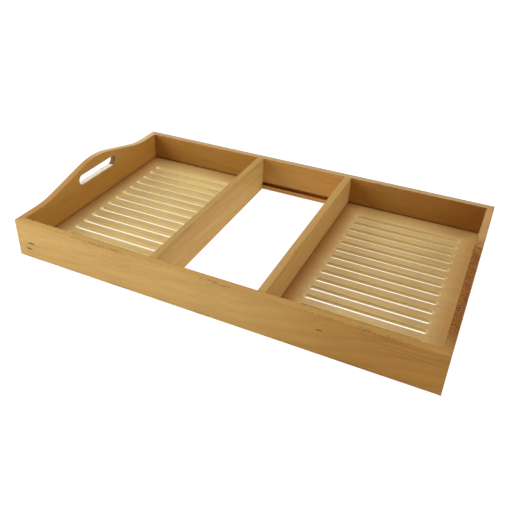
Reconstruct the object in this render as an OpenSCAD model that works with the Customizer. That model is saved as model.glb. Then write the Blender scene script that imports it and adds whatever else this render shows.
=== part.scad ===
// Wooden carrying tray with two slotted side bays and an open middle bay.
// The origin is at the centre of the footprint, on the underside. X runs along the tray,
// Y from the front rail to the back rail, Z up.

/* [Frame] */
// Length over the two end boards
tray_length = 700; // [600:1:900]
// Depth over the front and back rails
tray_depth = 420; // [340:1:520]
// Height of the rails, the dividers and the four corners
wall_height = 68; // [56:1:90]
// Thickness of the rails and the end boards
board_t = 12; // [10:0.5:16]
// Thickness of the two dividers
divider_t = 12.5; // [10:0.5:16]
// Clear width of the open middle bay
middle_bay = 167; // [120:1:220]

/* [Handle ends] */
// Height of the crest above the rails
crest_rise = 30; // [22:1:44]
// Distance from the middle of an end board to the foot of its crest
crest_half = 160; // [130:1:168]
// Radius of the round top of the crest
crest_radius = 165; // [60:1:200]
// Radius of the hollow curve at each foot of the crest
foot_radius = 165; // [60:1:200]
// Length of the hand hole, over its round ends
grip_length = 110; // [90:1:140]
// Height of the hand hole
grip_height = 18; // [15:0.5:24]
// Wood left between the hand hole and the top of the crest
grip_cover = 19; // [15:0.5:26]

/* [Floors] */
// Thickness of the two floor panels
floor_t = 6; // [4:0.5:8]
// Height of the lip below the groove, which the floors rest on
lip_height = 8.5; // [6:0.5:14]
// Gap in the groove above a floor
floor_headroom = 2.5; // [0.5:0.5:3]
// Depth of the groove
groove_depth = 6; // [4:0.5:7]
// Gap between the edge of a floor and the bottom of its groove
floor_play = 1; // [0.5:0.5:2]

/* [Slots] */
// Width of one slot
slot_width = 9.8; // [6:0.1:14]
// Distance between the middles of neighbouring slots
slot_pitch = 24.3; // [20:0.1:34]
// Wood between the ends of the slots and the side walls of the bay
slot_side_margin = 28; // [15:1:50]
// Least wood between the outermost slots and the rails
slot_rail_margin = 30; // [20:1:60]
// How far the whole row of slots is moved towards the front rail
slot_shift = 2; // [0:0.5:6]

/* [Hidden joinery] */
// Diameter of the dowels that hold the dividers
dowel_d = 6; // [5:0.5:7]
// Length of a dowel inside the rail
dowel_in_rail = 7.5; // [5:0.5:8]
// Length of a dowel inside the divider
dowel_in_divider = 19.5; // [12:0.5:30]
// Wood between the lower dowel and the groove, and between the upper dowel and the top edge
dowel_edge = 10; // [7:0.5:11]
// Thickness of the splines across the mitres
spline_t = 3; // [2:0.5:4]
// Width of a spline across the mitre
spline_w = 10; // [7:0.5:11]
// Wood between a spline and the outer faces of the boards
spline_skin = 2.5; // [2:0.1:3]
// Wood above a spline, and between a spline and the groove
spline_edge = 6; // [4:0.5:10]
// Gap at the ends of dowels and splines
glue_gap = 0.5; // [0.2:0.1:1]

/* [Hidden] */
$fn = 96;
past = 1; // how far a cutter runs past the face that it cuts
ARC_STEPS = 16; // straight stretches in one arc of the crest

RAIL_WOOD = [0.78, 0.61, 0.36];
END_WOOD = [0.66, 0.46, 0.24];
PLY_WOOD = [0.69, 0.55, 0.35];
PEG_WOOD = [0.84, 0.70, 0.48];

half_length = tray_length / 2;
half_depth = tray_depth / 2;
inner_x = half_length - board_t;
inner_y = half_depth - board_t;
groove_top = lip_height + floor_t + floor_headroom;
divider_x = (middle_bay + divider_t) / 2;
bay_wall_x = divider_x + divider_t / 2;
crest_top = wall_height + crest_rise;
grip_z = crest_top - grip_cover - grip_height / 2;

// The slots share the length of the floor that shows between the rails.
slot_length = inner_x - bay_wall_x - 2 * slot_side_margin;
slot_room = 2 * inner_y - 2 * slot_rail_margin - slot_width;
slot_count = floor(slot_room / slot_pitch) + 1;
first_slot_y = -(slot_count - 1) * slot_pitch / 2 - slot_shift;

dowel_low_z = groove_top + dowel_edge + dowel_d / 2;
dowel_high_z = wall_height - dowel_edge - dowel_d / 2;
spline_low_z = groove_top + spline_edge;
spline_high_z = wall_height - spline_edge;
spline_reach = (spline_w / 2 + glue_gap + spline_t / 2) / sqrt(2);
spline_in = spline_skin + spline_reach;

// Crest outline: a round top and two hollow feet joined by straight flanks that touch both.
// The curves shrink together when the crest is too steep for a flank to fit between them.
curve_limit = 0.95 * (pow(crest_half, 2) / crest_rise + crest_rise) / 2;
curve_scale = min(1, curve_limit / (crest_radius + foot_radius));
top_r = crest_radius * curve_scale;
foot_r = foot_radius * curve_scale;
centre_drop = top_r + foot_r - crest_rise;
centre_gap = norm([crest_half, centre_drop]);
flank_angle = asin((top_r + foot_r) / centre_gap) - atan2(centre_drop, crest_half);

// Plan of the board along the front, with its ends cut at 45 degrees from the outer corners
module mitred_plan(half_run, half_across) {
    polygon([
        [-half_run, -half_across],
        [half_run, -half_across],
        [half_run - board_t, -half_across + board_t],
        [-half_run + board_t, -half_across + board_t]
    ]);
}

// Points on an arc round a centre, from one angle to another, measured from straight up
function arc(centre, radius, from, to) = [
    for (i = [0:ARC_STEPS])
        let (turn = from + (to - from) * i / ARC_STEPS)
            centre + radius * [sin(turn), cos(turn)]
];

function mirrored(points) = [
    for (i = [len(points) - 1:-1:0]) [-points[i][0], points[i][1]]
];

// Side view of an end board, with the crest in the middle
module crest_outline() {
    top_centre = [0, crest_top - top_r];
    foot_centre = [crest_half, wall_height + foot_r];
    top_arc = arc(top_centre, top_r, -flank_angle, flank_angle);
    right_foot = arc(foot_centre, foot_r, 180 + flank_angle, 180);
    polygon(concat(
        [[-half_depth, 0], [-half_depth, wall_height]],
        mirrored(right_foot),
        top_arc,
        right_foot,
        [[half_depth, wall_height], [half_depth, 0]]
    ));
}

// Hand hole through the left end board
module grip_cutter() {
    straight = grip_length - grip_height;
    translate([-half_length - past, -straight / 2, grip_z - grip_height / 2])
        cube([board_t + 2 * past, straight, grip_height]);
    for (side = [-1, 1])
        translate([-half_length - past, side * straight / 2, grip_z])
            rotate([0, 90, 0])
                cylinder(h = board_t + 2 * past, d = grip_height);
}

// Spline across the front left mitre; grow is the gap that its slot leaves at its ends
module corner_spline(grow) {
    translate([-half_length + spline_in, -half_depth + spline_in, spline_low_z - grow])
        rotate([0, 0, -45])
            translate([-spline_w / 2 - grow, -spline_t / 2, 0])
                cube([spline_w + 2 * grow, spline_t, spline_high_z - spline_low_z + 2 * grow]);
}

// Moves what belongs at the front left to the right, to the back or both
module at_corner(right, back) {
    mirror([right ? 1 : 0, 0, 0])
        mirror([0, back ? 1 : 0, 0])
            children();
}

// The two dowels at the front end of the left divider; grow is the gap at their ends
module dowel_pair(grow) {
    for (z = [dowel_low_z, dowel_high_z])
        translate([-divider_x, -inner_y - dowel_in_rail - grow, z])
            rotate([-90, 0, 0])
                cylinder(h = dowel_in_rail + dowel_in_divider + 2 * grow, d = dowel_d);
}

// Front rail; the back rail is its mirror image
module rail() {
    difference() {
        linear_extrude(height = wall_height)
            mitred_plan(half_length, half_depth);
        translate([-half_length, -inner_y - groove_depth, lip_height])
            cube([tray_length, groove_depth + past, groove_top - lip_height]);
        for (right = [false, true])
            at_corner(right, false) {
                corner_spline(glue_gap);
                dowel_pair(glue_gap);
            }
    }
}

// Left end board; the right one is its mirror image
module end_board() {
    difference() {
        intersection() {
            translate([-half_length, 0, 0])
                rotate([90, 0, 90])
                    linear_extrude(height = board_t)
                        crest_outline();
            linear_extrude(height = crest_top + past)
                rotate([0, 0, -90])
                    mitred_plan(half_depth, half_length);
        }
        translate([-inner_x - groove_depth, -half_depth, lip_height])
            cube([groove_depth + past, tray_depth, groove_top - lip_height]);
        grip_cutter();
        for (back = [false, true])
            at_corner(false, back)
                corner_spline(glue_gap);
    }
}

// Left divider, grooved only on the side of the left bay
module divider() {
    difference() {
        translate([-bay_wall_x, -inner_y, 0])
            cube([divider_t, 2 * inner_y, wall_height]);
        translate([-bay_wall_x - past, -inner_y - past, lip_height])
            cube([groove_depth + past, 2 * inner_y + 2 * past, groove_top - lip_height]);
        for (back = [false, true])
            at_corner(false, back)
                dowel_pair(glue_gap);
    }
}

// One slot with round ends, centred on the left bay
module slot_cutter(y) {
    straight = slot_length - slot_width;
    bay_x = -(inner_x + bay_wall_x) / 2;
    translate([bay_x - straight / 2, y - slot_width / 2, lip_height - past])
        cube([straight, slot_width, floor_t + 2 * past]);
    for (side = [-1, 1])
        translate([bay_x + side * straight / 2, y, lip_height - past])
            cylinder(h = floor_t + 2 * past, d = slot_width);
}

// Left floor panel, resting on the lips all round
module floor_panel() {
    tongue = groove_depth - floor_play;
    difference() {
        translate([-inner_x - tongue, -inner_y - tongue, lip_height])
            cube([inner_x - bay_wall_x + 2 * tongue, 2 * (inner_y + tongue), floor_t]);
        for (i = [0:slot_count - 1])
            slot_cutter(first_slot_y + i * slot_pitch);
    }
}

module front_rail() {
    color(RAIL_WOOD) rail();
}

module back_rail() {
    color(RAIL_WOOD) at_corner(false, true) rail();
}

module left_end() {
    color(END_WOOD) end_board();
}

module right_end() {
    color(END_WOOD) at_corner(true, false) end_board();
}

module left_divider() {
    color(RAIL_WOOD) divider();
}

module right_divider() {
    color(RAIL_WOOD) at_corner(true, false) divider();
}

module left_floor() {
    color(PLY_WOOD) floor_panel();
}

module right_floor() {
    color(PLY_WOOD) at_corner(true, false) floor_panel();
}

module spline_piece(right, back) {
    color(PEG_WOOD) at_corner(right, back) corner_spline(0);
}

module divider_dowels(right, back) {
    color(PEG_WOOD) at_corner(right, back) dowel_pair(0);
}

front_rail();
back_rail();
left_end();
right_end();
left_divider();
right_divider();
left_floor();
right_floor();
spline_piece(false, false);  // front_left_spline
spline_piece(true, false);  // front_right_spline
spline_piece(false, true);  // back_left_spline
spline_piece(true, true);  // back_right_spline
divider_dowels(false, false);  // left_divider_front_dowels
divider_dowels(false, true);  // left_divider_back_dowels
divider_dowels(true, false);  // right_divider_front_dowels
divider_dowels(true, true);  // right_divider_back_dowels
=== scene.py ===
import math

import bmesh
import bpy
from mathutils import Matrix, Vector, noise


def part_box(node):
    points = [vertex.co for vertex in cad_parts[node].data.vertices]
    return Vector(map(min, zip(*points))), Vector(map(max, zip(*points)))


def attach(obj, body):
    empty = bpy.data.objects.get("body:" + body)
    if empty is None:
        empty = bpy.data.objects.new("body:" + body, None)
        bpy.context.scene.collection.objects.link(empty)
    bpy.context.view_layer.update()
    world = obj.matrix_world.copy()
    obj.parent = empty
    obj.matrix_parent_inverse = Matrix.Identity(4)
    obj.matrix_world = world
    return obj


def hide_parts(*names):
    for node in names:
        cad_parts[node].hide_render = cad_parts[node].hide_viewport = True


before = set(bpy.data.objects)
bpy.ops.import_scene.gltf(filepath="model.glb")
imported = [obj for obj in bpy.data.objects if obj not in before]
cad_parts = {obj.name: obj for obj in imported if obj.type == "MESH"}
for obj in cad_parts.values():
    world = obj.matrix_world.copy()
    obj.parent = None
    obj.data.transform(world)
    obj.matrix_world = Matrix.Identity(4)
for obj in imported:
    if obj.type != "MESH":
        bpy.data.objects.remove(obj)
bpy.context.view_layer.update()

# Sizes in metres. Those that a box can tell come from the frame; the rest repeat the CAD source.
MM = 0.001
X, Y, Z = range(3)
rail_low, rail_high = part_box("front_rail")
end_low, end_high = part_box("left_end")
divider_low, divider_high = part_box("right_divider")
floor_low, floor_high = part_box("right_floor")

HALF_LENGTH = rail_high.x
HALF_DEPTH = -rail_low.y
BOARD_T = end_high.x - end_low.x
WALL_HEIGHT = rail_high.z
CREST_TOP = end_high.z
INNER_X = HALF_LENGTH - BOARD_T
INNER_Y = HALF_DEPTH - BOARD_T
DIVIDER_T = divider_high.x - divider_low.x
MIDDLE_WALL_X = divider_low.x
BAY_WALL_X = divider_high.x
BAY_MIDDLE_X = (BAY_WALL_X + INNER_X) / 2

CREST_HALF = 160 * MM
CREST_RADIUS = 165 * MM
GRIP_LENGTH = 110 * MM
GRIP_HEIGHT = 18 * MM
GRIP_DROP = 28 * MM
GRIP_Z = CREST_TOP - GRIP_DROP
GRIP_HALF_STRAIGHT = (GRIP_LENGTH - GRIP_HEIGHT) / 2
FLOOR_HEADROOM = 2.5 * MM
GROOVE_DEPTH = 6 * MM
GROOVE_BOTTOM = floor_low.z
GROOVE_TOP = floor_high.z + FLOOR_HEADROOM
GROOVE_BLEND = 1.2 * MM  # how softly the painted shade in a groove ends at its lips
GRIP_BLEND = 2 * MM  # and the one at the far end of a hand hole

SLOT_LENGTH = 186 * MM
SLOT_WIDTH = 9.8 * MM
SLOT_PITCH = 24.3 * MM
SLOT_COUNT = 14
SLOT_SHIFT = -2 * MM
SLOT_HALF_STRAIGHT = (SLOT_LENGTH - SLOT_WIDTH) / 2
SLOT_HIGHLIGHT = 1.2 * MM  # painted highlight: a pale rim round a slot

ARRIS = 0.9 * MM  # how far the long edges are eased
GRIP_ARRIS = 1.0 * MM  # the hand holes are rounded more
SLOT_ARRIS = 0.3 * MM
BAND = 4 * MM  # strip beside an edge that carries the edge-distance attribute
JOINT_GAP = 0.1 * MM  # how far a mitre face stands back from the joint
STATION = 5 * MM  # spacing of the cross-sections along a board

# How finely the round stretches are divided.
ARRIS_STEPS = 4
SLOT_ARRIS_STEPS = 3
SLOT_END_STEPS = 7
GRIP_END_STEPS = 18
GRIP_SIDE_STEPS = 12

BOARD_MERGE = 0.0001 * MM  # corners closer than this are one
FLOOR_MERGE = 0.06 * MM
SHARP_ANGLE = math.radians(32)  # edges that turn by more stay crisp


# ---------------------------------------------------------------- boards

def crest_line(run):
    """Height of an end board's top edge, and its outward normal, at a place along the board."""
    rise = CREST_TOP - WALL_HEIGHT
    drop = 2 * CREST_RADIUS - rise
    gap = math.hypot(CREST_HALF, drop)
    flank = math.asin(2 * CREST_RADIUS / gap) - math.atan2(drop, CREST_HALF)
    arc_reach = CREST_RADIUS * math.sin(flank)
    side, reach = math.copysign(1, run), abs(run)
    if reach >= CREST_HALF:
        return WALL_HEIGHT, (0, 1)
    if reach <= arc_reach:
        turn = math.asin(reach / CREST_RADIUS)
        return CREST_TOP - CREST_RADIUS * (1 - math.cos(turn)), (side * math.sin(turn), math.cos(turn))
    if reach >= CREST_HALF - arc_reach:
        turn = math.asin((CREST_HALF - reach) / CREST_RADIUS)
        return WALL_HEIGHT + CREST_RADIUS * (1 - math.cos(turn)), (side * math.sin(turn), math.cos(turn))
    arc_end = CREST_TOP - CREST_RADIUS * (1 - math.cos(flank))
    return arc_end - (reach - arc_reach) * math.tan(flank), (side * math.sin(flank), math.cos(flank))


def level_line(_run):
    """A straight top edge."""
    return WALL_HEIGHT, (0, 1)


def base_line(_run):
    """The underside; its outward normal is turned over by the caller."""
    return 0, (0, 1)


def quarter_round(radius):
    """(depth behind the face, drop below the edge) along an eased arris, face side first."""
    turns = [math.pi / 2 * i / ARRIS_STEPS for i in range(ARRIS_STEPS + 1)]
    return [(radius * (1 - math.cos(t)), radius * (1 - math.sin(t))) for t in turns]


def edge_section(thickness, radius):
    """(face, depth behind that face, drop) across a board's edge, from the outer face to the inner one."""
    near = [(0, BAND)] + quarter_round(radius)
    outer = [("outer", depth, drop) for depth, drop in near]
    inner = [("inner", depth, drop) for depth, drop in reversed(near)]
    return outer + [("middle", thickness / 2, 0)] + inner


class BoardMesh:
    """Builds one board in its own terms (run along it, depth behind its outer face, height)."""

    # How the width of a hand-eased arris wanders: waves per metre, and share of the width.
    SLOW_WAVES, SLOW_SHARE = 9, 0.45
    QUICK_WAVES, QUICK_SHARE = 55, 0.25
    RUBBED_SHARE = 0.6  # part of an arris that counts as the edge itself

    def __init__(self, name, place, half_run, thickness, mitred, seed):
        self.name = name
        self.place = place
        self.half_run = half_run
        self.thickness = thickness
        self.mitred = mitred
        self.seed = seed
        self.mesh = bmesh.new()
        self.edge_distance = self.mesh.verts.layers.float.new("edge_distance")

    def vertex(self, run, depth, height, edge_distance):
        made = self.mesh.verts.new(self.place(run, depth, height))
        made[self.edge_distance] = edge_distance / BAND
        return made

    def reach(self, depth):
        """How far the board runs from its middle at this depth."""
        return self.half_run - (depth + JOINT_GAP * math.sqrt(2) if self.mitred else 0)

    def stations(self):
        """Places of the cross-sections between the two ends."""
        inner = self.reach(self.thickness) - STATION / 2
        count = 2 * math.ceil(inner / STATION)
        return [inner * (2 * i / count - 1) for i in range(count + 1)]

    def wander(self, run, edge):
        """A hand-eased arris is a little wider here and narrower there."""
        # The odd factors keep the edges and the boards from sharing one pattern.
        slow = noise.noise(Vector((run * self.SLOW_WAVES, edge * 7.3, self.seed)))
        quick = noise.noise(Vector((run * self.QUICK_WAVES, edge * 3.1, self.seed + 5)))
        return 1 + self.SLOW_SHARE * slow + self.QUICK_SHARE * quick

    def eased_point(self, side, behind, drop, radius, wander):
        """Depth, drop and edge distance of a point of the edge section, its arris widened by wander."""
        if side != "middle" and drop != BAND:
            behind, drop = behind * wander, drop * wander
        distance = max(0, math.hypot(behind, drop) - self.RUBBED_SHARE * radius)
        return (self.thickness - behind if side == "inner" else behind), drop, distance

    def edge_strip(self, line, up):
        """The eased strip along a top (1) or bottom (-1) edge; returns its rows, outer face first."""
        limit = self.reach(0)
        rows = []
        for side, behind, drop in edge_section(self.thickness, ARRIS):
            edge = up + (2 if side == "outer" else 5)  # each edge has a number of its own
            row = []
            for run in [-limit] + self.stations() + [limit]:
                wander = self.wander(run, edge)
                depth, eased, distance = self.eased_point(side, behind, drop, ARRIS, wander)
                if abs(run) == limit:
                    run = math.copysign(self.reach(depth), run)
                height, (normal_run, normal_up) = line(run)
                eased_run, eased_height = run - normal_run * eased, height - up * normal_up * eased
                row.append(self.vertex(eased_run, depth, eased_height, distance))
            rows.append(row)
        self.lattice(rows)
        return rows

    def lattice(self, rows, closed=False):
        """Quads between neighbouring rows."""
        for row, following in zip(rows, rows[1:]):
            count = len(row)
            for i in range(count if closed else count - 1):
                j = (i + 1) % count
                self.mesh.faces.new((row[i], row[j], following[j], following[i]))

    def fill(self, loops):
        """A flat face inside the first loop, with the others as holes; an empty loop adds nothing."""
        edges = []
        for loop in loops:
            for i, corner in enumerate(loop):
                pair = (corner, loop[(i + 1) % len(loop)])
                edges.append(self.mesh.edges.get(pair) or self.mesh.edges.new(pair))
        bmesh.ops.triangle_fill(self.mesh, use_beauty=True, edges=edges)

    def hand_hole(self):
        """The rounded wall of the hand hole; returns its outermost loop on either face."""
        # A spoke is (place along the hole, outward direction along and up).
        spokes = []
        for side in (1, -1):
            for i in range(GRIP_END_STEPS + 1):
                turn = math.pi * (i / GRIP_END_STEPS - 0.5)
                spokes.append((side * GRIP_HALF_STRAIGHT, side * math.cos(turn), side * math.sin(turn)))
            for i in range(1, GRIP_SIDE_STEPS):
                along = side * GRIP_HALF_STRAIGHT * (1 - 2 * i / GRIP_SIDE_STEPS)
                spokes.append((along, 0, side))
        rings = []
        for side, behind, drop in edge_section(self.thickness, GRIP_ARRIS):
            depth, eased, distance = self.eased_point(side, behind, drop, GRIP_ARRIS, 1.0)
            offset = GRIP_HEIGHT / 2 + eased
            rings.append([self.vertex(along + out_run * offset, depth, GRIP_Z + out_up * offset, distance)
                          for along, out_run, out_up in spokes])
        self.lattice(rings, closed=True)
        return rings[0], rings[-1]

    def build(self, top_line, has_hand_hole):
        """The whole board as a mesh object."""
        bottom = self.edge_strip(base_line, -1)
        top = self.edge_strip(top_line, 1)
        outer_hole, inner_hole = self.hand_hole() if has_hand_hole else ((), ())
        self.fill([bottom[0] + top[0][::-1], outer_hole])
        groove = self.groove()
        self.fill([bottom[-1] + groove[0][::-1]])
        self.lattice(groove)
        self.fill([groove[-1] + top[-1][::-1], inner_hole])
        for end in (0, -1):
            self.mesh.faces.new([row[end] for row in bottom + groove + top[::-1]])
        bmesh.ops.remove_doubles(self.mesh, verts=self.mesh.verts, dist=BOARD_MERGE)
        bmesh.ops.recalc_face_normals(self.mesh, faces=self.mesh.faces)
        return finish_mesh(self.name, self.mesh)

    def groove(self):
        """The groove that takes the floor panels, as rows from its lower lip to its upper one."""
        rows = []
        for inward, height in [(0, GROOVE_BOTTOM), (GROOVE_DEPTH, GROOVE_BOTTOM),
                               (GROOVE_DEPTH, GROOVE_TOP), (0, GROOVE_TOP)]:
            ends = self.reach(self.thickness - inward)
            runs = [-ends] + self.stations() + [ends]
            rows.append([self.vertex(run, self.thickness - inward, height, BAND) for run in runs])
        return rows


def finish_mesh(name, built):
    """Turns the bmesh into an object at the origin, smooth on its eased edges and sharp elsewhere."""
    data = bpy.data.meshes.new(name)
    built.to_mesh(data)
    built.free()
    for polygon in data.polygons:
        polygon.use_smooth = True
    data.set_sharp_from_angle(angle=SHARP_ANGLE)
    piece = bpy.data.objects.new(name, data)
    bpy.context.scene.collection.objects.link(piece)
    return piece


def build_boards():
    """The two rails, the two end boards and the two dividers."""
    # A board's place turns its own terms (s along it, d behind its outer face, z up) into the tray's.
    boards = {
        "front_rail": (lambda s, d, z: (s, d - HALF_DEPTH, z), HALF_LENGTH, BOARD_T, True),
        "back_rail": (lambda s, d, z: (s, HALF_DEPTH - d, z), HALF_LENGTH, BOARD_T, True),
        "left_end": (lambda s, d, z: (d - HALF_LENGTH, s, z), HALF_DEPTH, BOARD_T, True),
        "right_end": (lambda s, d, z: (HALF_LENGTH - d, s, z), HALF_DEPTH, BOARD_T, True),
        "left_divider": (lambda s, d, z: (-MIDDLE_WALL_X - d, s, z), INNER_Y, DIVIDER_T, False),
        "right_divider": (lambda s, d, z: (MIDDLE_WALL_X + d, s, z), INNER_Y, DIVIDER_T, False),
    }
    made = {}
    for seed, (node, (place, half_run, thickness, mitred)) in enumerate(boards.items()):
        is_end = node in ("left_end", "right_end")
        board = BoardMesh(node + "_board", place, half_run, thickness, mitred, 3.7 * seed)
        made[node] = board.build(crest_line if is_end else level_line, has_hand_hole=is_end)
    return made


# ---------------------------------------------------------------- node trees

class NodeTree:
    """Short ways to add and join nodes."""

    def __init__(self, tree):
        self.tree = tree

    def add(self, kind, inputs=None, **settings):
        """One node; its first enabled output stands for it when it feeds another."""
        node = self.tree.nodes.new(kind)
        for key, value in settings.items():
            setattr(node, key, value)
        for key, value in (inputs or {}).items():
            self.feed(node.inputs[key], value)
        return node

    def feed(self, socket, value):
        if isinstance(value, bpy.types.Node):
            value = next(output for output in value.outputs if output.enabled)
        if isinstance(value, bpy.types.NodeSocket):
            self.tree.links.new(value, socket)
        else:
            socket.default_value = value

    def calc(self, operation, *values, clamp=False):
        """One arithmetic step on numbers."""
        node = self.tree.nodes.new("ShaderNodeMath")
        node.operation = operation
        node.use_clamp = clamp
        for socket, value in zip(node.inputs, values):
            self.feed(socket, value)
        return node.outputs[0]

    def point(self, x=0.0, y=0.0, z=0.0):
        """A vector put together from three numbers."""
        return self.add("ShaderNodeCombineXYZ", {0: x, 1: y, 2: z}).outputs[0]

    def move(self, operation, first, second):
        """One arithmetic step on vectors."""
        return self.add("ShaderNodeVectorMath", {0: first, 1: second}, operation=operation).outputs[0]

    def length(self, vector):
        """How long a vector is."""
        return self.add("ShaderNodeVectorMath", {0: vector}, operation="LENGTH").outputs["Value"]

    def split(self, vector):
        """The three numbers of a vector."""
        return self.add("ShaderNodeSeparateXYZ", {0: vector}).outputs

    def rise(self, value, start, end):
        """From nought at the start to one at the end."""
        return self.add("ShaderNodeMapRange", {0: value, 1: start, 2: end}).outputs[0]

    def fall(self, value, start, end):
        """From one at the start to nought at the end."""
        return self.add("ShaderNodeMapRange", {0: value, 1: start, 2: end, 3: 1.0, 4: 0.0}).outputs[0]

    def mottle(self, place, scale, detail=2.0, roughness=0.5, bend=0.0):
        """Soft noise with this many features per metre."""
        return self.add("ShaderNodeTexNoise", {
            "Vector": place, "Scale": scale, "Detail": detail, "Roughness": roughness, "Distortion": bend,
        }).outputs[0]

    def seen(self):
        """One for what the camera sees, nought for the light that falls on the tray."""
        return self.add("ShaderNodeLightPath").outputs["Is Camera Ray"]

    def join(self, *parts):
        joined = self.add("GeometryNodeJoinGeometry")
        for part in parts:
            self.feed(joined.inputs[0], part)
        return joined


def new_tree(name, kind, inputs, outputs):
    """A node group with named inputs and outputs; returns it, its inputs' sockets and its output node."""
    tree = bpy.data.node_groups.new(name, kind)
    add_socket = tree.interface.new_socket
    for socket_name, socket_kind, *default in inputs:
        socket = add_socket(socket_name, in_out="INPUT", socket_type="NodeSocket" + socket_kind)
        if default:
            socket.default_value = default[0]
    for socket_name, socket_kind in outputs:
        add_socket(socket_name, in_out="OUTPUT", socket_type="NodeSocket" + socket_kind)
    nodes = NodeTree(tree)
    return nodes, nodes.add("NodeGroupInput").outputs, nodes.add("NodeGroupOutput")


# ---------------------------------------------------------------- slotted floors

# A slot's ends are a hair short of full half rounds, so that no straight stretch shrinks to nothing.
HALF_ROUND = 0.4995


def slotted_floor_tree():
    """Geometry Nodes: a panel with a row of round-ended slots whose edges are eased."""
    nodes, given, end = new_tree("slotted_floor", "GeometryNodeTree", [
        ("Panel Width", "Float"), ("Panel Depth", "Float"), ("Panel Middle", "Vector"),
        ("Thickness", "Float"), ("Slot Length", "Float"), ("Slot Width", "Float"),
        ("Slot Pitch", "Float"), ("Slot Count", "Int"), ("Row Middle", "Vector"),
        ("Eased Edge", "Float"), ("Wood", "Material"),
    ], [("Panel", "Geometry")])
    ease, thickness = given["Eased Edge"], given["Thickness"]
    lift = nodes.point(z=thickness)

    def slot_outline(growth):
        """A slot's outline, wider by this all round."""
        width = nodes.calc("MULTIPLY_ADD", growth, 2, given["Slot Width"])
        length = nodes.calc("MULTIPLY_ADD", growth, 2, given["Slot Length"])
        outline = nodes.add("GeometryNodeCurvePrimitiveQuadrilateral", {"Width": length, "Height": width})
        end_round = nodes.calc("MULTIPLY", width, HALF_ROUND)
        return nodes.add("GeometryNodeFilletCurve", {
            "Curve": outline, "Radius": end_round, "Count": SLOT_END_STEPS}, mode="POLY")

    # The row of slots starts half its length before its middle.
    steps = nodes.calc("SUBTRACT", given["Slot Count"], 1)
    start_y = nodes.calc("MULTIPLY", nodes.calc("MULTIPLY", steps, given["Slot Pitch"]), -0.5)
    row_start = nodes.move("ADD", given["Row Middle"], nodes.point(y=start_y))
    row = nodes.add("GeometryNodeMeshLine", {
        "Count": given["Slot Count"], "Start Location": row_start,
        "Offset": nodes.point(y=given["Slot Pitch"])}, mode="OFFSET")

    # Upper and lower face: the panel's outline with the slots as holes.
    edge = nodes.add("GeometryNodeCurvePrimitiveQuadrilateral", {
        "Width": given["Panel Width"], "Height": given["Panel Depth"]})
    edge = nodes.add("GeometryNodeTransform", {"Geometry": edge, "Translation": given["Panel Middle"]})
    holes = nodes.add("GeometryNodeInstanceOnPoints", {"Points": row, "Instance": slot_outline(ease)})
    holes = nodes.add("GeometryNodeRealizeInstances", {"Geometry": holes})
    face = nodes.add("GeometryNodeFillCurve", {"Curve": nodes.join(edge, holes)}, mode="TRIANGLES")
    upper = nodes.add("GeometryNodeTransform", {"Geometry": face, "Translation": lift})

    # A slot's wall follows its outline with a section that is rounded over at both faces.
    index = nodes.add("GeometryNodeInputIndex").outputs[0]
    last = 2 * SLOT_ARRIS_STEPS + 1
    from_face = nodes.calc("MINIMUM", index, nodes.calc("SUBTRACT", last, index))
    turn = nodes.calc("MULTIPLY", from_face, math.pi / 2 / SLOT_ARRIS_STEPS)
    out = nodes.calc("MULTIPLY", ease, nodes.calc("SUBTRACT", 1, nodes.calc("SINE", turn)))
    down = nodes.calc("MULTIPLY", ease, nodes.calc("SUBTRACT", 1, nodes.calc("COSINE", turn)))
    is_upper = nodes.calc("LESS_THAN", index, last / 2)
    height = nodes.add("ShaderNodeMix", {0: is_upper, 2: down, 3: nodes.calc("SUBTRACT", thickness, down)})
    # A section's own Y runs downwards once it is carried along a level outline.
    section_place = nodes.point(out, nodes.calc("MULTIPLY", height, -1.0))
    section = nodes.add("GeometryNodePoints", {"Count": last + 1, "Position": section_place})
    section = nodes.add("GeometryNodePointsToCurves", {0: section})
    wall = nodes.add("GeometryNodeCurveToMesh", {"Curve": slot_outline(0.0), "Profile Curve": section})
    walls = nodes.add("GeometryNodeInstanceOnPoints", {"Points": row, "Instance": wall})

    # The panel's outer edge, hidden in the grooves.
    rim = nodes.add("GeometryNodeCurveToMesh", {"Curve": edge})
    rim = nodes.add("GeometryNodeExtrudeMesh", {"Mesh": rim, "Offset": lift}, mode="EDGES")

    whole = nodes.add("GeometryNodeRealizeInstances", {"Geometry": nodes.join(upper, face, walls, rim)})
    whole = nodes.add("GeometryNodeMergeByDistance", {"Geometry": whole, "Distance": FLOOR_MERGE})
    whole = nodes.add("GeometryNodeSetMaterial", {"Geometry": whole, "Material": given["Wood"]})
    nodes.feed(end.inputs[0], whole)
    return nodes.tree


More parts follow.
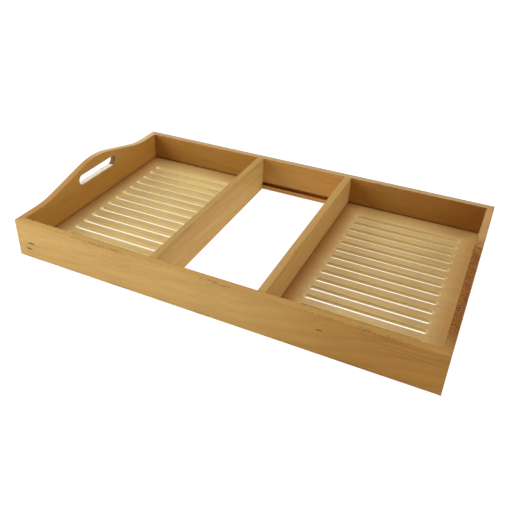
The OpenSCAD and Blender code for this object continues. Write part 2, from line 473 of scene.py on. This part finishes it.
def build_floor(name, node, tree, wood):
    """One floor panel, made by the tree and then turned into a plain mesh."""
    low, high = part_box(node)
    middle = (low + high) / 2
    holder = bpy.data.objects.new(name + "_maker", bpy.data.meshes.new(name + "_maker"))
    bpy.context.scene.collection.objects.link(holder)
    maker = holder.modifiers.new("slotted floor", "NODES")
    maker.node_group = tree
    sizes = {
        "Panel Width": high.x - low.x, "Panel Depth": high.y - low.y,
        "Panel Middle": (middle.x, middle.y, 0), "Thickness": high.z - low.z,
        "Slot Length": SLOT_LENGTH, "Slot Width": SLOT_WIDTH,
        "Slot Pitch": SLOT_PITCH, "Slot Count": SLOT_COUNT,
        "Row Middle": (math.copysign(BAY_MIDDLE_X, middle.x), SLOT_SHIFT, 0),
        "Eased Edge": SLOT_ARRIS, "Wood": wood,
    }
    for item in tree.interface.items_tree:
        if item.in_out == "INPUT":
            maker[item.identifier] = sizes[item.name]
    bpy.context.view_layer.update()
    data = bpy.data.meshes.new_from_object(holder.evaluated_get(bpy.context.evaluated_depsgraph_get()))
    bpy.data.objects.remove(holder)
    built = bmesh.new()
    built.from_mesh(data)
    bmesh.ops.translate(built, vec=(0, 0, low.z), verts=built.verts)
    bmesh.ops.recalc_face_normals(built, faces=built.faces)
    piece = finish_mesh(name, built)
    piece.data.materials.append(wood)
    return piece


# ---------------------------------------------------------------- wood

# Grain shows in colour, in relief and in gloss.
THREAD_STAIN, FLECK_STAIN = 0.16, 0.3
THREAD_RELIEF, FLECK_RELIEF, FUZZ_RELIEF = -0.3, -0.7, 1.5
RELIEF_HEIGHT = 0.4 * MM
RELIEF_STRENGTH = 0.35
OIL_ROUGHNESS, THREAD_ROUGHNESS = 0.5, 0.14
OIL_SPECULAR = 0.2
ORANGE_SHARE, DARK_SHARE = 0.6, 0.95  # of torn end grain
SPOT_STRENGTH = 0.92

# What turns a wood's middle tone into the three that its grain is mixed from.
LIGHT_FACTORS = (1.1, 1.11, 1.14)
MIDDLE_FACTORS = (0.95, 0.94, 0.92)
DARK_FACTORS = (0.62, 0.55, 0.42)

# Pin knots in the right floor, as (x, y) on its upper face.
PIN_KNOTS = [(0.183, 0.132), (0.144, -0.014), (0.143, -0.063),
             (0.262, -0.108), (0.181, 0.058), (0.185, 0.106)]


def stretched_noise(nodes, place, along, across, detail=2.0, roughness=0.5, bend=0.0):
    """Noise drawn out along the grain; along and across are its features per metre."""
    spread = nodes.move("MULTIPLY", place, (along, across, across))
    return nodes.mottle(spread, 1.0, detail, roughness, bend)


def long_grain_group():
    """Soft streaks, fine threads and short dark flecks that run along X."""
    nodes, given, end = new_tree("long_grain", "ShaderNodeTree", [
        ("Position", "Vector"), ("Coarseness", "Float", 1.0)],
        [("Streaks", "Float"), ("Threads", "Float"), ("Flecks", "Float")])
    place = nodes.move("DIVIDE", given["Position"], nodes.point(*[given["Coarseness"]] * 3))
    streaks = stretched_noise(nodes, place, along=6, across=60, detail=3, roughness=0.6, bend=0.6)
    threads = stretched_noise(nodes, place, along=24, across=560, detail=3, roughness=0.6, bend=0.2)
    flecks = stretched_noise(nodes, place, along=85, across=640, detail=3, roughness=0.65)
    nodes.feed(end.inputs["Streaks"], nodes.rise(streaks, 0.3, 0.7))
    nodes.feed(end.inputs["Threads"], nodes.rise(threads, 0.3, 0.7))
    nodes.feed(end.inputs["Flecks"], nodes.rise(flecks, 0.57, 0.68))
    return nodes.tree


def growth_rings_group():
    """Yearly rings round a pith line that runs along X, with the wobble of a real stem."""
    nodes, given, end = new_tree("growth_rings", "ShaderNodeTree", [
        ("Position", "Vector"), ("Pith", "Vector"), ("Ring Width", "Float", 0.005),
        ("Taper", "Float", 0.05), ("Wobble", "Float", 0.004)], [("Rings", "Float")])
    away = nodes.move("SUBTRACT", given["Position"], given["Pith"])
    distance = nodes.length(nodes.move("MULTIPLY", away, (0, 1, 1)))
    bend = stretched_noise(nodes, given["Position"], along=7, across=26)
    distance = nodes.calc("MULTIPLY_ADD", nodes.split(away)[0], given["Taper"], distance)
    distance = nodes.calc("MULTIPLY_ADD", bend, given["Wobble"], distance)
    ring = nodes.calc("FRACT", nodes.calc("DIVIDE", distance, given["Ring Width"]))
    # Late wood darkens slowly through the year and stops short at the next spring.
    darkening = nodes.calc("POWER", ring, 3.0)
    stop = nodes.calc("SUBTRACT", 1.0, nodes.calc("POWER", ring, 14.0))
    late = nodes.calc("MULTIPLY", darkening, stop)
    nodes.feed(end.inputs["Rings"], nodes.calc("MULTIPLY", late, 1.7, clamp=True))
    return nodes.tree


def edge_wear_group():
    """Along the arrises: where handling has rubbed them, and the small dark nicks left by the plane."""
    nodes, given, end = new_tree("edge_wear", "ShaderNodeTree", [
        ("Position", "Vector"), ("Edge Distance", "Float"), ("Width", "Float", 0.3)],
        [("Wear", "Float"), ("Nicks", "Float")])
    place, distance = given["Position"], given["Edge Distance"]
    ragged = nodes.mottle(place, 190.0, detail=3.0)
    reach = nodes.calc("MULTIPLY", given["Width"], nodes.calc("MULTIPLY_ADD", ragged, 2.4, -0.4))
    nodes.feed(end.inputs["Wear"], nodes.fall(distance, 0.0, reach))
    # The nicks come in patches, and only near the edge.
    chips = nodes.mottle(place, 300.0)
    patches = nodes.mottle(place, 16.0, detail=1.0)
    chips = nodes.rise(nodes.calc("MULTIPLY_ADD", patches, 0.8, chips), 0.96, 1.06)
    near = nodes.fall(distance, 0.3, 1.0)
    nodes.feed(end.inputs["Nicks"], nodes.calc("MULTIPLY", chips, near))
    return nodes.tree


def dark_spot_group():
    """A pin knot or bark streak: a soft-edged dark spot of its own length and width."""
    nodes, given, end = new_tree("dark_spot", "ShaderNodeTree", [
        ("Position", "Vector"), ("Middle", "Vector"), ("Half Size", "Vector", (0.002, 0.002, 0.002))],
        [("Spot", "Float")])
    away = nodes.move("SUBTRACT", given["Position"], given["Middle"])
    distance = nodes.length(nodes.move("DIVIDE", away, given["Half Size"]))
    ragged = nodes.mottle(given["Position"], 420.0)
    distance = nodes.calc("MULTIPLY_ADD", ragged, 0.9, distance)
    nodes.feed(end.inputs["Spot"], nodes.fall(distance, 0.9, 1.5))
    return nodes.tree


def rough_end_grain_group():
    """Cut fibres: a dark and an orange mottle, and the fuzz that stands up from them."""
    nodes, given, end = new_tree("rough_end_grain", "ShaderNodeTree", [("Position", "Vector")],
                                 [("Dark", "Float"), ("Orange", "Float"), ("Fuzz", "Float")])
    coarse = nodes.mottle(given["Position"], 560.0, detail=3.0, roughness=0.7)
    elsewhere = nodes.move("ADD", given["Position"], (3.1, 1.7, 0.6))
    other = nodes.mottle(elsewhere, 230.0, detail=3.0)
    nodes.feed(end.inputs["Dark"], nodes.rise(coarse, 0.46, 0.62))
    nodes.feed(end.inputs["Orange"], nodes.rise(other, 0.5, 0.64))
    nodes.feed(end.inputs["Fuzz"], coarse)
    return nodes.tree


def slot_field_group():
    """Where the slots are: a thin rim round each one, and the field that they share."""
    nodes, given, end = new_tree("slot_field", "ShaderNodeTree", [
        ("Position", "Vector"), ("Bay Middle", "Float"), ("Row Middle", "Float"), ("Pitch", "Float"),
        ("Half Straight", "Float"), ("Half Width", "Float"), ("Rim Width", "Float", 0.001),
        ("Half Row", "Float")], [("Rim", "Float"), ("Outside", "Float")])
    x, y, _z = nodes.split(given["Position"])
    across = nodes.calc("ABSOLUTE", nodes.calc("SUBTRACT", x, given["Bay Middle"]))
    beyond = nodes.calc("MAXIMUM", nodes.calc("SUBTRACT", across, given["Half Straight"]), 0.0)
    along_row = nodes.calc("SUBTRACT", y, given["Row Middle"])
    # The row has an even number of slots, so its middle lies halfway between two of them.
    step = nodes.calc("FRACT", nodes.calc("DIVIDE", along_row, given["Pitch"]))
    aside = nodes.calc("MULTIPLY", nodes.calc("SUBTRACT", step, 0.5), given["Pitch"])
    away = nodes.length(nodes.point(beyond, aside))
    reach = nodes.calc("ADD", given["Half Width"], given["Rim Width"])
    rim = nodes.fall(away, given["Half Width"], reach)
    past_row = nodes.calc("SUBTRACT", nodes.calc("ABSOLUTE", along_row), given["Half Row"])
    in_row = nodes.calc("LESS_THAN", past_row, nodes.calc("MULTIPLY", given["Rim Width"], 2.0))
    nodes.feed(end.inputs["Rim"], nodes.calc("MULTIPLY", rim, in_row))
    half_length = nodes.calc("ADD", given["Half Straight"], given["Half Width"])
    past_end = nodes.calc("SUBTRACT", across, half_length)
    past = nodes.calc("MAXIMUM", past_row, past_end)
    nodes.feed(end.inputs["Outside"], nodes.rise(past, -4 * MM, 20 * MM))
    return nodes.tree


class Wood:
    """One piece's wood: shared groups placed with this piece's own values."""

    def __init__(self, name, groups, along, shift, tones, coarseness=1.0, contrast=1.0):
        self.material = bpy.data.materials.new(name)
        self.material.use_nodes = True
        self.nodes = NodeTree(self.material.node_tree)
        self.groups = groups
        self.shader = self.material.node_tree.nodes["Principled BSDF"]
        nodes = self.nodes
        self.place = nodes.add("ShaderNodeTexCoord").outputs["Object"]
        turn = (0, 0, -math.pi / 2) if along == "Y" else (0, 0, 0)
        self.grain_place = nodes.add("ShaderNodeMapping", {
            "Vector": self.place, "Location": shift, "Rotation": turn}).outputs[0]
        grain = self.group("long_grain", {"Position": self.grain_place, "Coarseness": coarseness})
        threads, flecks = grain.outputs["Threads"], grain.outputs["Flecks"]
        light, middle, dark = tones
        self.colour = self.mix(light, middle, grain.outputs["Streaks"])
        self.stain(dark, threads, THREAD_STAIN * contrast)
        self.stain(dark, flecks, FLECK_STAIN * contrast)
        thread_height = nodes.calc("MULTIPLY", threads, THREAD_RELIEF)
        self.height = nodes.calc("MULTIPLY_ADD", flecks, FLECK_RELIEF, thread_height)
        self.roughness = nodes.calc("MULTIPLY_ADD", threads, THREAD_ROUGHNESS, OIL_ROUGHNESS)

    def group(self, name, inputs):
        node = self.nodes.add("ShaderNodeGroup", node_tree=self.groups[name])
        for key, value in inputs.items():
            self.nodes.feed(node.inputs[key], value)
        return node

    def mix(self, first, second, share):
        node = self.nodes.add("ShaderNodeMix", data_type="RGBA")
        for key, value in ((0, share), (6, first), (7, second)):
            self.nodes.feed(node.inputs[key], value)
        return node.outputs[2]

    def stain(self, colour, mask, strength=1.0):
        """Lays a colour over the wood where the mask is high."""
        share = self.nodes.calc("MULTIPLY", mask, strength, clamp=True)
        self.colour = self.mix(self.colour, colour, share)

    def between(self, value, start, end):
        """A mask that rises softly from nought at the start to one at the end."""
        return self.nodes.add("ShaderNodeMapRange", {0: value, 1: start, 2: end},
                              interpolation_type="SMOOTHSTEP").outputs[0]

    def both(self, first, second):
        """A mask that is high where both of two are."""
        return self.nodes.calc("MULTIPLY", first, second)

    def position(self, axis):
        return self.nodes.split(self.place)[axis]

    def past(self, axis, limit):
        """How far beyond a limit a place is, on either side of the tray's middle."""
        return self.nodes.calc("SUBTRACT", self.nodes.calc("ABSOLUTE", self.position(axis)), limit)

    def facing(self, axis):
        """How much a face looks along this axis, either way."""
        normal = self.nodes.add("ShaderNodeNewGeometry").outputs["Normal"]
        return self.nodes.calc("ABSOLUTE", self.nodes.split(normal)[axis])

    def top_edge(self):
        """A mask for the board's upper edge (and its underside)."""
        return self.between(self.facing(Z), 0.5, 0.9)

    def cloud(self, scale):
        """A soft, irregular mask."""
        return self.between(self.nodes.mottle(self.grain_place, scale, detail=3.0), 0.4, 0.62)

    def drift(self, axis, start, end, colour, strength, wander=0.06):
        """The board slowly changes to another colour along one axis."""
        bend = self.nodes.mottle(self.place, 11.0)
        moved = self.nodes.calc("MULTIPLY_ADD", bend, wander, self.position(axis))
        mask = self.between(moved, start + wander / 2, end + wander / 2)
        self.stain(colour, mask, strength)
        return mask

    def rings(self, colour, strength, pith, width, mask=None, taper=0.05, wobble=0.004):
        """Growth rings round a pith line that runs along the board."""
        ring = self.group("growth_rings", {
            "Position": self.grain_place, "Pith": pith, "Ring Width": width,
            "Taper": taper, "Wobble": wobble}).outputs[0]
        if mask is not None:
            ring = self.both(ring, mask)
        self.stain(colour, ring, strength)

    def worn_edges(self, rubbed, rub_strength, nicked, nick_strength):
        distance = self.nodes.add("ShaderNodeAttribute", attribute_name="edge_distance").outputs["Fac"]
        wear = self.group("edge_wear", {"Position": self.place, "Edge Distance": distance})
        self.stain(rubbed, wear.outputs["Wear"], rub_strength)
        self.stain(nicked, wear.outputs["Nicks"], nick_strength)

    def end_grain(self, mask, base, dark, orange):
        """Rough cut fibres where the mask is high."""
        grain = self.group("rough_end_grain", {"Position": self.place})
        colour = self.mix(base, orange, self.nodes.calc("MULTIPLY", grain.outputs["Orange"], ORANGE_SHARE))
        colour = self.mix(colour, dark, self.nodes.calc("MULTIPLY", grain.outputs["Dark"], DARK_SHARE))
        self.stain(colour, mask)
        fuzz = self.both(grain.outputs["Fuzz"], mask)
        self.height = self.nodes.calc("MULTIPLY_ADD", fuzz, FUZZ_RELIEF, self.height)

    def paint_hand_hole_light_and_shade(self, shaded, lit):
        """Painted light and shade in the hand hole: its wall is painted nearly white as painted light, and
        its far end dark brown as painted shade.
        """
        beyond = self.nodes.calc("MAXIMUM", self.past(Y, GRIP_HALF_STRAIGHT), 0.0)
        aside = self.nodes.calc("SUBTRACT", self.position(Z), GRIP_Z)
        distance = self.nodes.length(self.nodes.point(beyond, aside))
        inside = self.nodes.fall(distance, GRIP_HEIGHT / 2, GRIP_HEIGHT / 2 + GRIP_ARRIS)
        # Painted light: the wall of the hole is laid over nearly white.
        self.stain(lit, inside, 0.8)
        # Painted shade at the far end of the hole.
        far_end = self.between(
            self.position(Y), GRIP_HALF_STRAIGHT - GRIP_BLEND, GRIP_HALF_STRAIGHT + GRIP_BLEND)
        self.stain(shaded, self.both(inside, far_end))

    def painted_groove_shade(self, colour, strength):
        """Paints shade inside a rail's groove: a dark brown painted shadow on its walls and lips."""
        past_rail = self.past(Y, INNER_Y)
        sunk = self.between(past_rail, 0.0, GROOVE_DEPTH / 4)
        # The painted shade ends inside the board, so that it stays off the outer face.
        shallow = self.between(past_rail, GROOVE_DEPTH * 1.5, GROOVE_DEPTH * 1.2)
        above = self.between(self.position(Z), GROOVE_BOTTOM - GROOVE_BLEND, GROOVE_BOTTOM)
        below = self.between(self.position(Z), GROOVE_TOP + GROOVE_BLEND, GROOVE_TOP)
        self.stain(colour, self.both(self.both(sunk, shallow), self.both(above, below)), strength)

    def painted_margin_light(self, colour):
        """The strip of a floor that lies inside the rails' and ends' grooves is painted orange: painted
        light that lifts its shadow in the grooves to brown.
        """
        past_walls = self.nodes.calc("MAXIMUM", self.past(X, INNER_X), self.past(Y, INNER_Y))
        self.stain(colour, self.between(past_walls, 0.0, GROOVE_DEPTH / 4))

    def painted_slot_wall_light(self, colour, end_light_colour, strength):
        """Painted light on the walls of the slots and their eased rims: pale tones stand for the light
        from the glowing table below, palest across the grain, where side light falls.
        """
        wall = self.between(self.facing(Z), 0.95, 0.6)
        self.stain(colour, wall, strength)
        across_grain = self.both(wall, self.between(self.facing(X), 0.2, 0.7))
        self.stain(end_light_colour, across_grain, strength)

    def painted_wall_shadow(self, inner_x, reach, colour, strength):
        """Painted shadow: a floor is darker beside one side wall of its bay, where that wall blocks the
        light.
        """
        mask = self.between(self.position(X), inner_x + reach, inner_x)
        self.stain(colour, mask, strength)

    def slot_field(self, bay_middle, highlight_colour, highlight_strength, outer_shade_colour, outer_shade_strength):
        """A painted highlight as a pale rim round the slots, and painted shade that darkens the floor
        outside the row of slots.
        """
        row_length = (SLOT_COUNT - 1) * SLOT_PITCH + SLOT_WIDTH
        field = self.group("slot_field", {
            "Position": self.place, "Bay Middle": bay_middle, "Row Middle": SLOT_SHIFT,
            "Pitch": SLOT_PITCH, "Half Straight": SLOT_HALF_STRAIGHT, "Half Width": SLOT_WIDTH / 2,
            "Rim Width": SLOT_HIGHLIGHT, "Half Row": row_length / 2})
        self.stain(outer_shade_colour, field.outputs["Outside"], outer_shade_strength)
        self.stain(highlight_colour, field.outputs["Rim"], highlight_strength)

    def spots(self, colour, places, half_size):
        """Pin knots or bark streaks of one size."""
        for place in places:
            spot = self.group("dark_spot", {
                "Position": self.place, "Middle": place, "Half Size": half_size}).outputs[0]
            self.stain(colour, spot, SPOT_STRENGTH)

    def finished(self):
        """Joins everything to the shader and returns the material."""
        bump = self.nodes.add("ShaderNodeBump", {
            "Strength": RELIEF_STRENGTH, "Distance": RELIEF_HEIGHT, "Height": self.height})
        self.nodes.feed(self.shader.inputs["Base Color"], self.colour)
        self.nodes.feed(self.shader.inputs["Roughness"], self.roughness)
        self.nodes.feed(self.shader.inputs["Normal"], bump)
        self.shader.inputs["Specular IOR Level"].default_value = OIL_SPECULAR
        return self.material


def tone(red, green, blue):
    """A paint-chart colour (0 to 255) as the shader wants it: with the usual display curve taken off."""
    def straight(value):
        share = value / 255
        return share / 12.92 if share <= 0.04045 else ((share + 0.055) / 1.055) ** 2.4
    return (straight(red), straight(green), straight(blue), 1.0)


def shades(red, green, blue):
    """Light, middle and dark tones of a wood, from its middle one."""
    def scaled(factors):
        return (*(min(1.0, part * factor) for part, factor in zip(tone(red, green, blue), factors)), 1.0)
    return scaled(LIGHT_FACTORS), scaled(MIDDLE_FACTORS), scaled(DARK_FACTORS)


def make_woods():
    """A wood for each visible board and panel, and one for the hidden pegs."""
    groups = {
        "long_grain": long_grain_group(), "growth_rings": growth_rings_group(),
        "edge_wear": edge_wear_group(), "dark_spot": dark_spot_group(),
        "rough_end_grain": rough_end_grain_group(), "slot_field": slot_field_group(),
    }
    arris, nick, bark = tone(204, 164, 106), tone(104, 66, 26), tone(84, 46, 12)
    late_wood = tone(132, 88, 40)
    # Painted shade and painted light for the walls of the hand holes.
    hand_hole_light_and_shade = tone(116, 82, 40), tone(255, 250, 240)
    woods = {}

    # The front rail turns darker and redder towards its right end, where the grain shows more; the
    # darkening is partly the wood's own tone and partly painted shade where the light falls off.
    wood = Wood("front_rail_wood", groups, "X", (0.0, 0.0, 0.0), shades(198, 159, 89), contrast=0.85)
    wood.rings(late_wood, 0.08, pith=(0, 0.05, 0.12), width=0.006)
    reddened_and_shaded = wood.drift(X, -0.02, 0.3, tone(170, 116, 38), 0.85)
    wood.rings(late_wood, 0.22, pith=(0.1, 0.06, 0.13), width=0.0075,
               mask=reddened_and_shaded, taper=0.09, wobble=0.008)
    wavy = wood.both(wood.between(wood.position(X), 0.2, 0.3), wood.between(wood.position(Z), 0.026, 0.05))
    wood.rings(nick, 0.3, pith=(0.2, -0.16, 0.3), width=0.0074, mask=wavy, taper=0.1, wobble=0.034)
    wood.stain(tone(184, 141, 78), wood.top_edge(), 0.6)
    left_streaks = [(-0.322, -HALF_DEPTH, 0.029), (-0.3285, -HALF_DEPTH, 0.0175)]
    right_streaks = [(0.181, -HALF_DEPTH, 0.043)]
    wood.spots(bark, left_streaks, half_size=(0.0085, 0.004, 0.0021))
    wood.spots(bark, right_streaks, half_size=(0.006, 0.004, 0.0012))
    wood.worn_edges(arris, 0.15, nick, 0.42)
    woods["front_rail"] = wood.finished()

    wood = Wood("back_rail_wood", groups, "X", (1.3, 0.2, 0.4), shades(186, 137, 65), contrast=0.8)
    wood.rings(late_wood, 0.1, pith=(0, -0.06, 0.14), width=0.007)
    # Painted shade: the back rail darkens and reddens towards its right end, into the corner of the right
    # bay.
    wood.drift(X, 0.12, 0.35, tone(138, 80, 20), 0.7)
    wood.stain(tone(192, 162, 120), wood.top_edge(), 0.85)
    wood.worn_edges(arris, 0.2, nick, 0.3)
    # Painted shade inside the back rail's groove.
    wood.painted_groove_shade(tone(148, 84, 26), 0.85)
    woods["back_rail"] = wood.finished()

    # The left end is paler towards its top, which is painted light on its upper part, and its crest is
    # paler behind its highest point.
    wood = Wood("left_end_wood", groups, "Y", (0.7, 0.5, 0.9), shades(188, 137, 62))
    wood.rings(late_wood, 0.07, pith=(0, 0.07, -0.1), width=0.006)
    # Painted light: the board is paler high up and keeps the darker tone of the bay's shade lower down.
    wood.drift(Z, 0.045, 0.085, tone(206, 154, 82), 0.6, wander=0.01)
    wood.stain(tone(172, 128, 72), wood.top_edge(), 0.85)
    behind_crest = wood.both(wood.top_edge(), wood.between(wood.position(Y), -0.03, 0.03))
    wood.stain(tone(214, 184, 132), behind_crest, 0.8)
    wood.paint_hand_hole_light_and_shade(*hand_hole_light_and_shade)
    wood.worn_edges(arris, 0.2, nick, 0.2)
    woods["left_end"] = wood.finished()

    # The saw has torn the fibres on the front slope of the right end's crest.
    wood = Wood("right_end_wood", groups, "Y", (1.7, 0.5, 0.9), shades(190, 142, 74))
    wood.rings(late_wood, 0.07, pith=(0, 0.07, -0.1), width=0.006)
    wood.paint_hand_hole_light_and_shade(*hand_hole_light_and_shade)
    wood.stain(tone(194, 150, 100), wood.top_edge(), 0.6)
    ragged = wood.nodes.calc("MULTIPLY_ADD", wood.cloud(140.0), 0.03, wood.position(Y))
    torn = wood.both(wood.between(ragged, 0.075, 0.005), wood.between(wood.facing(Z), 0.35, 0.7))
    torn = wood.both(torn, wood.between(wood.position(Y), -0.25, -0.14))
    wood.end_grain(torn, tone(148, 94, 34), tone(62, 32, 10), tone(178, 102, 30))
    wood.worn_edges(nick, 0.3, nick, 0.5)
    woods["right_end"] = wood.finished()

    dividers = {"left_divider": shades(190, 152, 84), "right_divider": shades(200, 158, 92)}
    for index, (node, tones) in enumerate(dividers.items()):
        wood = Wood(node + "_wood", groups, "Y", (2.1 + index, 0.9, 0.3), tones, contrast=0.6)
        wood.rings(late_wood, 0.1, pith=(0, 0.08, -0.12), width=0.007)
        wood.stain(tone(180, 142, 84), wood.top_edge(), 0.7)
        wood.worn_edges(arris, 0.15, nick, 0.25)
        woods[node] = wood.finished()

    # Each panel's last two tones are painted light on its slot walls and on their ends.
    panels = {
        "left_floor": (shades(212, 186, 128), -INNER_X, tone(230, 211, 141), tone(255, 232, 172)),
        "right_floor": (shades(210, 180, 124), BAY_WALL_X, tone(201, 177, 112), tone(212, 182, 116)),
    }
    for index, (node, (tones, side_x, wall, wall_end_light)) in enumerate(panels.items()):
        shift = (0.4 + index, 1.7, 0.1)
        wood = Wood(node + "_wood", groups, "X", shift, tones, coarseness=0.8, contrast=1.3)
        wood.stain(tone(196, 150, 96), wood.cloud(9.0), 0.25)
        bay_middle = math.copysign(BAY_MIDDLE_X, side_x)
        # Painted highlight round the slots, and painted shade outside their row.
        wood.slot_field(bay_middle, tone(255, 226, 158), 0.85, tone(172, 128, 62), 0.65)
        # Painted shadow beside the left wall of the bay.
        wood.painted_wall_shadow(side_x, 40 * MM, tone(160, 98, 30), 0.5)
        # Painted light on the walls of the slots.
        wood.painted_slot_wall_light(wall, wall_end_light, 0.9)
        # Painted light on the shadowed strip inside the grooves.
        wood.painted_margin_light(tone(196, 148, 82))
        if node == "right_floor":
            knots = [(x, y, floor_high.z) for x, y in PIN_KNOTS]
            wood.spots(bark, knots, half_size=(0.0016, 0.0016, 0.004))
        woods[node] = wood.finished()

    woods["pegs"] = Wood("peg_wood", groups, "X", (0.2, 0.3, 0.8), shades(214, 176, 118)).finished()
    return woods


# ---------------------------------------------------------------- studio

CAMERA_PLACE = (0.3539, -0.8350, 0.5947)
CAMERA_TURN, CAMERA_TILT, CAMERA_ROLL = (math.radians(angle) for angle in (26.34, 32.44, 0.80))
CAMERA_LENS, CAMERA_SENSOR = 43.72, 36
CAMERA_SHIFT = (0.0506, -0.0359)

WORLD_GLOW = 0.03
TABLE_HALF_SIZE = 20
TABLE_GLOW = 0.5
CAMERA_WHITE = 1.1  # how bright the table looks to the camera,
CAMERA_WHITE_SHARE = 0.85  # and how much of that it sees


def set_camera():
    """Looks down on the tray from the front right."""
    camera = bpy.data.objects.new("camera", bpy.data.cameras.new("camera"))
    bpy.context.scene.collection.objects.link(camera)
    bpy.context.scene.camera = camera
    level = math.cos(CAMERA_TILT)
    forward = Vector((
        -math.sin(CAMERA_TURN) * level, math.cos(CAMERA_TURN) * level, -math.sin(CAMERA_TILT)))
    across = forward.cross(Vector((0, 0, 1))).normalized()
    upright = across.cross(forward)
    right = math.cos(CAMERA_ROLL) * across + math.sin(CAMERA_ROLL) * upright
    up = -math.sin(CAMERA_ROLL) * across + math.cos(CAMERA_ROLL) * upright
    turned = Matrix((right, up, -forward)).transposed().to_4x4()
    camera.matrix_world = Matrix.Translation(CAMERA_PLACE) @ turned
    camera.data.sensor_width = CAMERA_SENSOR
    camera.data.lens = CAMERA_LENS
    camera.data.shift_x, camera.data.shift_y = CAMERA_SHIFT


def soft_light(name, place, size, power):
    """A square soft box, aimed at the tray."""
    lamp = bpy.data.objects.new(name, bpy.data.lights.new(name, "AREA"))
    bpy.context.scene.collection.objects.link(lamp)
    lamp.data.size = size
    lamp.data.energy = power
    lamp.location = place
    lamp.rotation_mode = "QUATERNION"
    lamp.rotation_quaternion = (Vector((0, 0, 0)) - Vector(place)).to_track_quat("-Z", "Y")


def set_surroundings():
    """The camera sees them white, but they light the tray only faintly."""
    world = bpy.data.worlds.new("studio")
    bpy.context.scene.world = world
    world.use_nodes = True
    surroundings = world.node_tree.nodes["Background"]
    surroundings.inputs["Color"].default_value = (1, 1, 1, 1)
    nodes = NodeTree(world.node_tree)
    glow = nodes.calc("MULTIPLY_ADD", nodes.seen(), 1.0 - WORLD_GLOW, WORLD_GLOW)
    nodes.feed(surroundings.inputs["Strength"], glow)


def set_table():
    """A wide pale table that glows; the camera sees it nearly white, with a trace of shadow."""
    built = bmesh.new()
    bmesh.ops.create_grid(built, x_segments=1, y_segments=1, size=TABLE_HALF_SIZE)
    data = bpy.data.meshes.new("studio_floor")
    built.to_mesh(data)
    built.free()
    studio_floor = bpy.data.objects.new("studio_floor", data)
    bpy.context.scene.collection.objects.link(studio_floor)
    table = bpy.data.materials.new("glowing_table")
    table.use_nodes = True
    shader = table.node_tree.nodes["Principled BSDF"]
    shader.inputs["Base Color"].default_value = (0.9, 0.9, 0.9, 1)
    shader.inputs["Roughness"].default_value = 0.9
    shader.inputs["Specular IOR Level"].default_value = 0.0
    shader.inputs["Emission Color"].default_value = (1, 1, 1, 1)
    shader.inputs["Emission Strength"].default_value = TABLE_GLOW
    nodes = NodeTree(table.node_tree)
    white = nodes.add("ShaderNodeEmission", {"Color": (1, 1, 1, 1), "Strength": CAMERA_WHITE})
    share = nodes.calc("MULTIPLY", nodes.seen(), CAMERA_WHITE_SHARE)
    mixed = nodes.add("ShaderNodeMixShader", {0: share})
    nodes.feed(mixed.inputs[1], shader)
    nodes.feed(mixed.inputs[2], white)
    nodes.feed(table.node_tree.nodes["Material Output"].inputs["Surface"], mixed)
    data.materials.append(table)


def set_studio():
    """White surroundings, the table, and soft boxes to the left, to the right and above."""
    bpy.context.scene.view_settings.view_transform = "Standard"
    set_surroundings()
    soft_light("left_box", place=(-1.6, -0.6, 0.7), size=1.5, power=36)
    soft_light("right_box", place=(1.7, 0.0, 1.0), size=1.0, power=17)
    soft_light("top_box", place=(-0.3, 0.3, 1.9), size=1.2, power=20)
    set_table()


# ---------------------------------------------------------------- the tray

set_camera()
set_studio()
woods = make_woods()
boards = build_boards()
floor_tree = slotted_floor_tree()
floors = {node: build_floor(node + "_panel", node, floor_tree, woods[node])
          for node in ("left_floor", "right_floor")}

SLOTS = {"rail": "rail_boards", "divider": "rail_boards", "end": "end_boards", "floor": "floor_panels"}
for node, piece in {**boards, **floors}.items():
    if not piece.data.materials:
        piece.data.materials.append(woods[node])
    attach(piece, "root")
    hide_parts(node)
    SLOTS[node.split("_")[1]]

for node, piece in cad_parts.items():
    if node.endswith(("_spline", "_dowels")):
        piece.data.materials.clear()
        piece.data.materials.append(woods["pegs"])
